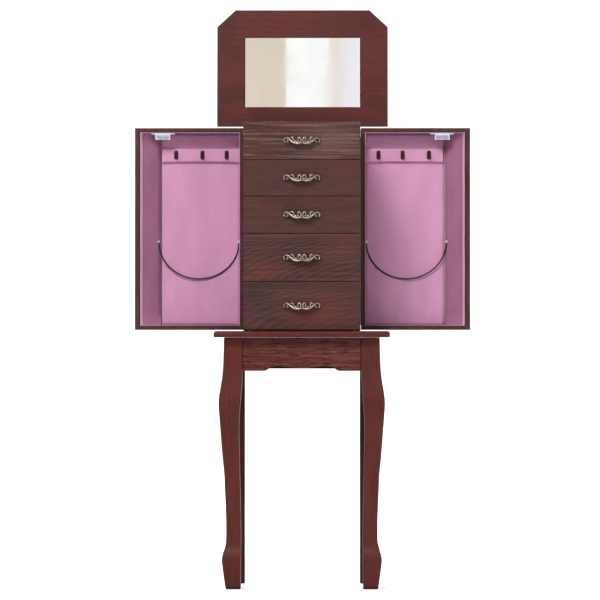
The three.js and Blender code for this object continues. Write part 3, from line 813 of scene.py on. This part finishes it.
# A closed velvet block, puffed and smoothed. spot takes shares from 0 to 1 along its three sides.
def makePad(name, spot, counts, cap, pressure):
    cells, grid = bmesh.new(), {}

    def corner(at):
        if at not in grid:
            grid[at] = cells.verts.new(spot(*(step / count for step, count in zip(at, counts))))
        return grid[at]

    acrossFirst, alongFirst = ((0, 0), (0, 1), (1, 1), (1, 0)), ((0, 0), (1, 0), (1, 1), (0, 1))
    for fixed, p, q, winding in ((2, 0, 1, acrossFirst), (1, 0, 2, alongFirst), (0, 1, 2, acrossFirst)):
        for i in range(counts[p]):
            for j in range(counts[q]):
                for end, turn in ((0, 1), (counts[fixed], -1)):
                    places = [{fixed: end, p: i + di, q: j + dj} for di, dj in winding]
                    quad = [corner((at[0], at[1], at[2])) for at in places]
                    cells.faces.new(quad[::turn])
    mesh = bpy.data.meshes.new(name)
    bmesh.ops.recalc_face_normals(cells, faces=cells.faces)
    cells.to_mesh(mesh)
    cells.free()
    for polygon in mesh.polygons:
        polygon.use_smooth = True
    mesh.materials.append(pinkVelvet)
    pad = bpy.data.objects.new(name, mesh)
    bpy.context.collection.objects.link(pad)
    puff(pad, cap, pressure)
    finer = pad.modifiers.new("finer", "SUBSURF")
    finer.levels = finer.render_levels = 1
    return pad


# padded hook rail, wrapped in the same velvet
railPad = {"u": (8.9, 160.3), "z": (811.6, 838.9), "front": 34.0, "back": 40.6,
           "counts": (76, 4, 14), "cap": 0.0011, "pressure": 5.0}
for side, sign in sides:
    (ua, ub), (za, zb) = railPad["u"], railPad["z"]

    def railSpot(i, j, k):
        v = railPad["back"] + (railPad["front"] - railPad["back"]) * j
        return doorPlace(sign, ua + (ub - ua) * i, v, za + (zb - za) * k)

    pad = makePad(f"hook_rail_pad_{side}", railSpot, railPad["counts"], railPad["cap"], railPad["pressure"])
    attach(pad, f"{side}_door")
    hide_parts(f"hook_rail_{side}")
print("hook rails padded")


# hooks: an upright plate with a screw, and a bent wire with a ball on its end
hookPlan = {"u": (34.5, 81.5, 132.5), "half": 4.0, "low": 817.0, "high": 834.4, "inset": 0.8,
            "wire": 1.35, "face": 33.2, "ball": (829.6, 12.9), "screw": (831.0, 1.6)}
wireBend = [(1.2, 826.6), (4.4, 824.6), (5.6, 821.4), (8.4, 819.4), (11.2, 820.6), (12.6, 824.0),
            (12.9, 828.6)]
darkBronze = metalMaterial("darkBronze", (0.060, 0.040, 0.030), (0.010, 0.007, 0.006), 0.34, 0.003)
plugPlastic = plasticMaterial("plugPlastic", (0.52, 0.50, 0.53), 0.3)


def makeHook(side, sign, number, u):
    half, low, high, inset = (hookPlan[key] for key in ("half", "low", "high", "inset"))

    def plateSpot(a, b, depth):
        return doorPlace(sign, u + a, hookPlan["face"] - depth, b)

    vertices, faces = [], []
    addPlate(vertices, faces, roundedOutline(-half, half, low, high, 3.6, 6), plateSpot, 0.0, 1.1)
    raised = roundedOutline(-half + inset, half - inset, low + inset, high - inset, 2.9, 6)
    addPlate(vertices, faces, raised, plateSpot, 1.0, 1.7)
    bend = smoothCurve(wireBend, 5)
    thickness = [hookPlan["wire"] * (1.25 - 0.35 * i / (len(bend) - 1)) for i in range(len(bend))]
    addTube(vertices, faces, [plateSpot(0, z, out) for out, z in bend], thickness, 14)
    addBall(vertices, faces, plateSpot(0, *hookPlan["ball"]), 2.1)
    addTurned(vertices, faces, plateSpot(0, *hookPlan["screw"]), (0, -1, 0),
              [(0, 1.9), (0.35, 1.85), (0.75, 1.3), (0.9, 0.5)])
    hook = linkMesh(f"necklace_hook_{side}_{number}", vertices, faces, darkBronze)
    softenEdges(hook, 0.25, 2, 40)
    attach(hook, f"{side}_door")
    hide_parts(f"hook_{side}_{number}")


# small plugs that hold the cord's ends: one in the back panel, one in the slanted wall
plugPlan = {"panelFace": 41.2, "wallGap": 1.9, "above": 1.0,
            "profile": [(0, 2.6), (1.6, 2.6), (3.2, 2.4), (4.1, 1.5), (4.4, 0.4)]}


def makePlugs(side, sign):
    slant, gap = math.sqrt(0.5), plugPlan["wallGap"]
    spots = [(cordSettings["near"], plugPlan["panelFace"], (0, -1, 0)),
             (cordSettings["far"] + gap, cordSettings["farDepth"] + gap, (-sign * slant, -slant, 0))]
    for number, (x, depth, direction) in enumerate(spots, 1):
        vertices, faces = [], []
        base = place(sign * x, doorCorner["y"] + depth, cordSettings["anchor"] + plugPlan["above"])
        addTurned(vertices, faces, base, direction, plugPlan["profile"])
        plug = linkMesh(f"cord_plug_{side}_{number}", vertices, faces, plugPlastic)
        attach(plug, f"{side}_door")


for side, sign in sides:
    for number, u in enumerate(hookPlan["u"], 1):
        makeHook(side, sign, number, u)
    makePlugs(side, sign)
print("hooks made")


# magnetic catches under the doors' top walls
catchPlan = {"flange": (133.6, 180.0), "body": (143.0, 172.0), "low": 854.2, "step": 864.6, "high": 868.1}
whitePlastic = plasticMaterial("whitePlastic", (0.70, 0.72, 0.84), 0.38)
magnetFace = plasticMaterial("magnetFace", (0.26, 0.33, 0.44), 0.3)
platedSteel = metalMaterial("platedSteel", (0.62, 0.63, 0.65), (0.22, 0.22, 0.23), 0.28, 0.002, 0.5)
for side, sign in sides:
    f0, f1 = catchPlan["flange"]
    b0, b1 = catchPlan["body"]
    low, step, high = catchPlan["low"], catchPlan["step"], catchPlan["high"]

    def overhead(u, v, z):
        return doorPlace(sign, u, v, z)

    def facing(u, z, v):
        return doorPlace(sign, u, v, z)

    vertices, faces = [], []
    addPlate(vertices, faces, roundedOutline(f0, f1, 3.2, 15.0, 3.0), overhead, step, high)
    addPlate(vertices, faces, roundedOutline(b0, b1, 3.0, 19.0, 1.2, 3), overhead, low, step + 0.2)
    shell = linkMesh(f"catch_case_{side}", vertices, faces, whitePlastic)
    softenEdges(shell, 0.5)
    # two steel pole strips with the dark magnet between them
    vertices, faces = [], []
    for z0 in (low + 1.6, low + 6.0):
        addPlate(vertices, faces, roundedOutline(b0 + 3.5, b1 - 3.5, z0, z0 + 1.5, 0.5, 3), facing, 2.2, 3.6)
    poles = linkMesh(f"catch_poles_{side}", vertices, faces, platedSteel)
    softenEdges(poles, 0.2, 1)
    vertices, faces = [], []
    outline = roundedOutline(b0 + 2.6, b1 - 2.6, low + 1.0, low + 8.4, 0.8, 3)
    addPlate(vertices, faces, outline, facing, 2.5, 3.4)
    magnet = linkMesh(f"catch_magnet_{side}", vertices, faces, magnetFace)
    vertices, faces = [], []
    for u in (f0 + 4.2, f1 - 4.2):
        addTurned(vertices, faces, overhead(u, 9.0, step), (0, 0, -1),
                  [(0, 2.4), (0.5, 2.3), (1.0, 1.5), (1.15, 0.6)])
    screws = linkMesh(f"catch_screws_{side}", vertices, faces, platedSteel)
    for piece in (shell, poles, magnet, screws):
        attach(piece, f"{side}_door")
    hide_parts(f"catch_{side}")
    dressNode(f"strike_plate_{side}", platedSteel, 0.2)
print("catches made")


# drawer pulls: on each side an arm falls from the neck to the foot of an oval curl, with a leaf and
# two rings, all cast in front of a dark web, whose dark patina also paints the shade around and under the
# strands
pullPlan = {"bow": 13.2, "foot": 3.6, "half": 34.0, "face": -106.0, "webGrowth": 1.32, "webSunk": 1.5,
            "post": (28.0, 4.2), "endBall": (32.3, -2.4, 1.9), "endBallBow": 32.4, "middleBall": (-5.3, 1.7)}
antiqueBrass = metalMaterial("antiqueBrass", (0.42, 0.345, 0.28), (0.03, 0.022, 0.017), 0.42, 0.0035, 1.0)
shadeWebPatina = metalMaterial("shadeWebPatina", (0.050, 0.036, 0.028), (0.016, 0.011, 0.009), 0.5, 0.004)
pullStrands = [  # each point is (out from the middle, height, radius), then how far the strand stands proud
    ([(32.2, -2.6, 1.1), (33.6, 0.4, 1.5), (32.2, 3.6, 1.6), (28.8, 4.7, 1.4), (25.2, 3.2, 1.3),
      (22.0, 0.4, 1.5), (18.6, -2.6, 1.8), (14.6, -4.8, 2.0), (10.2, -5.8, 2.0), (6.4, -6.0, 1.8),
      (3.4, -4.9, 1.75), (1.8, -1.7, 1.7), (1.9, 2.0, 1.7), (3.7, 4.7, 1.7), (6.3, 4.4, 1.6),
      (7.5, 1.6, 1.55), (7.0, -1.5, 1.4), (5.2, -3.1, 1.1)], 0.0),
    ([(22.0, 4.2, 1.0), (19.2, 5.5, 1.4), (16.5, 4.4, 1.5), (15.6, 1.4, 1.5), (17.0, -1.3, 1.4),
      (19.4, -0.8, 1.1)], 0.3),
    ([(14.8, -0.2, 0.8), (12.8, -2.0, 1.7), (10.2, -3.2, 1.9), (8.4, -4.4, 1.1)], 0.5),
    ([(27.6, 1.0, 0.9), (25.6, -0.8, 1.15), (26.8, -3.0, 1.1), (29.0, -2.4, 0.9)], 0.0),
]
frontMiddles = [841.35, 771.3, 701.9, 621.75, 531.15]


def bowDepth(x):  # how far the pull stands off the drawer front
    share = min(abs(x) / pullPlan["half"], 1.0)
    return pullPlan["foot"] + (pullPlan["bow"] - pullPlan["foot"]) * math.cos(share * math.pi / 2) ** 0.75


def addStrands(vertices, faces, sign, middle, sunk=0.0, growth=1.0):
    for points, proud in pullStrands:
        path = smoothCurve(points, 6)
        spots = [place(sign * x, pullPlan["face"] - bowDepth(x) - proud + sunk, middle + z)
                 for x, z, _ in path]
        addTube(vertices, faces, spots, [radius * growth for _, _, radius in path])


def makePull(number, middle):
    vertices, faces = [], []
    for sign in (-1, 1):
        addStrands(vertices, faces, sign, middle, pullPlan["webSunk"], pullPlan["webGrowth"])
    webFaces = len(faces)
    face = pullPlan["face"]
    postOut, postUp = pullPlan["post"]
    ballOut, ballUp, ballRadius = pullPlan["endBall"]
    for sign in (-1, 1):
        addStrands(vertices, faces, sign, middle)
        ballSpot = place(sign * ballOut, face - bowDepth(pullPlan["endBallBow"]), middle + ballUp)
        addBall(vertices, faces, ballSpot, ballRadius)
        addTurned(vertices, faces, place(sign * postOut, face - 0.1, middle + postUp), (0, -1, 0),
                  [(0, 3.1), (0.8, 3.0), (1.4, 2.1), (5.0, 1.9), (bowDepth(postOut), 1.8)])
    middleUp, middleRadius = pullPlan["middleBall"]
    centre = place(0, face - bowDepth(0) + 0.2, middle + middleUp)
    addBall(vertices, faces, centre, middleRadius, (1.2, 1, 1))
    pull = linkMesh(f"scroll_pull_{number}", vertices, faces, antiqueBrass, shadeWebPatina)
    for polygon in pull.data.polygons[:webFaces]:
        polygon.material_index = 1
    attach(pull, f"drawer_{number}")
    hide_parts(f"handle_{number}")


for number, middle in enumerate(frontMiddles, 1):
    makePull(number, middle)
print("pulls made")


# velvet tubs in the drawers: floor, four walls and a rolled top edge
tubPlan = {"thick": 0.9, "perEdge": 16, "drawerX": (-92.9, 92.9), "drawerY": (-86.6, 87.9),
           "drawerFloor": 4.0, "drawerGap": 0.3, "bays": ((-97.4, -34.6), (-31.4, 31.4), (34.6, 97.4)),
           "bayY": (10.6, 106.4), "bayFloor": 848.4, "bayTop": 875.6}


def velvetTub(name, body, x, y, floor, top):
    thick = tubPlan["thick"]
    levels = [(floor + 0.05, 0.05), (top - 0.9, 0.05), (top - 0.3, 0.4), (top - 0.15, 0.9), (top - 0.5, 1.5),
              (top - 1.3, 1.6), (top - 2.8, thick), ((floor + top) / 2, thick), (floor + 2.4, thick),
              (floor + thick + 0.5, thick + 0.4), (floor + thick, thick + 1.6)]
    rings = []
    for z, inset in levels:
        x0, x1, y0, y1 = x[0] + inset, x[1] - inset, y[0] + inset, y[1] - inset
        outline = walkCorners([(x0, y0), (x1, y0), (x1, y1), (x0, y1)], tubPlan["perEdge"])
        rings.append([place(px, py, z) for px, py in outline])
    vertices, faces = [], []
    addLoops(vertices, faces, rings)
    tub = linkMesh(name, vertices, faces, pinkVelvet, foldHighlightVelvet)
    count = len(rings[0])
    for polygon in tub.data.polygons:
        # the rolled edge gets the paler velvet that paints its highlight
        if 1 <= polygon.index // count <= 5:  # the rolled edge
            polygon.material_index = 1
        if polygon.index >= (len(levels) - 1) * count:
            polygon.use_smooth = False
    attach(tub, body)


for i in range(1, 6):
    lowCorner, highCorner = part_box(f"drawer_box_{i}")
    velvetTub(f"drawer_lining_{i}", f"drawer_{i}", tubPlan["drawerX"], tubPlan["drawerY"],
              lowCorner.z / mm + tubPlan["drawerFloor"], highCorner.z / mm - tubPlan["drawerGap"])
for i, x in enumerate(tubPlan["bays"], 1):
    velvetTub(f"tray_bay_lining_{i}", "cabinet", x, tubPlan["bayY"], tubPlan["bayFloor"], tubPlan["bayTop"])
dressNode("top_tray", pinkVelvet, 0.8, 3)
print("drawer and tray linings made")


# ring rolls under the lid: six foam rolls on a board, covered in one piece of velvet
rollPlan = {"x": (-96.4, 96.4), "y": (-88.6, 6.6), "base": 849.0, "wall": 10.0, "crown": 8.6, "rolls": 6,
            "along": 64, "perRoll": 10, "cap": 0.0012, "pressure": 4.0}


def rollSpot(i, j, k):
    x = rollPlan["x"][0] + (rollPlan["x"][1] - rollPlan["x"][0]) * i
    y = rollPlan["y"][0] + (rollPlan["y"][1] - rollPlan["y"][0]) * j
    within = (j * rollPlan["rolls"]) % 1.0 if 0 < j < 1 else 0.0
    arch = math.sqrt(max(0.0, 1 - (2 * within - 1) ** 2)) if within > 0 else 0.0
    endFade = min(1.0, 0.55 + min(i, 1 - i) * 26)
    height = rollPlan["wall"] + rollPlan["crown"] * arch * endFade
    return place(x, y, rollPlan["base"] + height * k)


rollCounts = (rollPlan["along"], rollPlan["rolls"] * rollPlan["perRoll"], 4)
rolls = makePad("ring_rolls", rollSpot, rollCounts, rollPlan["cap"], rollPlan["pressure"])
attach(rolls, "cabinet")
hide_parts("ring_roll_cushion")
print("ring rolls made")


# mirror and hinges
dressNode("mirror", mirrorMaterial(), 1.0, 1)
hingeBrass = metalMaterial("hingeBrass", (0.40, 0.30, 0.165), (0.13, 0.09, 0.045), 0.3, 0.002, 0.7)
hingeScrews = {
    "lid_hinge_fixed_leaf": ("cabinet", [((x, 116.35, 862.0), (0, 1, 0)) for x in (-84, -42, 0, 42, 84)]),
}
for side, sign in sides:
    heights = (514, 592, 678, 764, 842)
    hingeScrews[f"door_hinge_fixed_leaf_{side}"] = (
        "cabinet", [((sign * 105.2, 116.35, z), (0, 1, 0)) for z in heights])
    hingeScrews[f"door_hinge_moving_leaf_{side}"] = (
        f"{side}_door", [((sign * 111.4, 122.9, z + 9), (-sign, 0, 0)) for z in heights])
for name in nodes:
    if "_leaf" in name:
        dressNode(name, hingeBrass, 0.12, 1)
for name, (body, spots) in hingeScrews.items():
    vertices, faces = [], []
    for spot, axis in spots:
        addTurned(vertices, faces, place(*spot), axis,
                  [(-0.1, 2.3), (0.15, 2.2), (0.5, 1.5), (0.62, 0.5)], 16)
    screws = linkMesh(f"screws_{name}", vertices, faces, hingeBrass)
    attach(screws, body)
print("hinges dressed")


# floor, backdrop and light
stagePlan = {"floor": 5.0, "rise": 3.0, "near": -9.5, "half": 9.0, "below": -0.0005, "steps": 12,
             "color": (0.93, 0.93, 0.93)}
vertices, faces = [], []
sweep = [(y, stagePlan["below"]) for y in (stagePlan["near"], -4.0, 0.0, stagePlan["floor"])]
for k in range(1, stagePlan["steps"] + 1):
    angle = math.pi / 2 * k / stagePlan["steps"]
    sweep.append((stagePlan["floor"] + stagePlan["rise"] * math.sin(angle),
                  stagePlan["rise"] * (1 - math.cos(angle))))
sweep.append((stagePlan["floor"] + stagePlan["rise"], stagePlan["half"]))
for y, z in sweep:
    vertices.extend([Vector((-stagePlan["half"], y, z)), Vector((stagePlan["half"], y, z))])
for i in range(len(sweep) - 1):
    faces.append((2 * i, 2 * i + 1, 2 * i + 3, 2 * i + 2))
paper, tree, shader, coordinates = newMaterial("palePaper", 0.85)
cloud = noiseNode(tree, coordinates, 1.5, 2.0, 0.5)
tree.links.new(mixColor(tree, cloud, stagePlan["color"], tuple(0.985 * c for c in stagePlan["color"])),
               shader.inputs["Base Color"])
shader.inputs["Specular IOR Level"].default_value = 0.1
# the paper glows a little for the eye only, so its far end doesn't fall to grey
seen = tree.nodes.new("ShaderNodeLightPath").outputs["Is Camera Ray"]
tree.links.new(mapRange(tree, seen, 0.0, 1.0, 0.0, 0.30), shader.inputs["Emission Strength"])
shader.inputs["Emission Color"].default_value = (1.0, 1.0, 1.0, 1.0)
backdrop = linkMesh("backdrop", vertices, faces, paper)

# what the mirror shows: a pale room wall in upright bands, seen by reflections only
roomPlan = {"y": -8.4, "low": 0.7, "high": 3.4}
roomBands = [(-1.7, -0.118, (0.76, 0.655, 0.545)), (-0.118, 0.064, (1.05, 1.05, 1.04)),
             (0.064, 0.112, (0.86, 0.76, 0.70)), (0.112, 1.7, (0.90, 0.87, 0.90))]
for number, (x0, x1, tone) in enumerate(roomBands, 1):
    cardMaterial, tree, shader, coordinates = newMaterial(f"paleRoom_{number}", 0.9)
    unevenness = grainNoise(tree, coordinates, (9.0, 0.0, 1.2), 2.0, 0.5)
    paler = tuple(0.93 * c for c in tone)
    tree.links.new(mixColor(tree, mapRange(tree, unevenness, 0.35, 0.65, 0.0, 1.0, True), tone, paler),
                   shader.inputs["Emission Color"])
    shader.inputs["Base Color"].default_value = (0.0, 0.0, 0.0, 1.0)
    shader.inputs["Emission Strength"].default_value = 1.0
    spots = [(x, roomPlan["y"], z) for x, z in ((x0, roomPlan["low"]), (x1, roomPlan["low"]),
                                                (x1, roomPlan["high"]), (x0, roomPlan["high"]))]
    roomCard = linkMesh(f"room_card_{number}", spots, [(0, 1, 2, 3)], cardMaterial)
    roomCard.visible_camera = False
    roomCard.visible_diffuse = False

world = bpy.data.worlds.new("studio")
bpy.context.scene.world = world
world.use_nodes = True
tree = world.node_tree
sky = tree.nodes["Background"]
sky.inputs["Color"].default_value = (1.0, 1.0, 1.0, 1.0)
direct = tree.nodes.new("ShaderNodeLightPath").outputs["Is Camera Ray"]
tree.links.new(mapRange(tree, direct, 0.0, 1.0, 0.22, 1.0), sky.inputs["Strength"])


def softLight(name, spot, aim, width, height, power):
    data = bpy.data.lights.new(name, "AREA")
    data.shape = "RECTANGLE"
    data.size, data.size_y = width, height
    data.energy = power
    lamp = bpy.data.objects.new(name, data)
    lamp.location = spot
    lamp.rotation_mode = "QUATERNION"
    lamp.rotation_quaternion = (Vector(aim) - Vector(spot)).to_track_quat("-Z", "Y")
    bpy.context.collection.objects.link(lamp)


lights = {
    "key": ((-1.0, -3.4, 3.5), (0, 0, 0.8), 1.4, 1.2, 165),
    "fill": ((2.2, -4.6, 1.8), (0, 0, 0.8), 2.2, 2.2, 42),
    "floorWash": ((0, 1.6, 3.9), (0, 1.8, 0.0), 4.0, 1.4, 60),
    "backdropWash": ((0, 1.8, 3.8), (0, 5.2, 0.6), 5.0, 1.5, 260),
}
for name, (spot, aim, width, height, power) in lights.items():
    softLight(name, spot, aim, width, height, power)
print("stage lit")
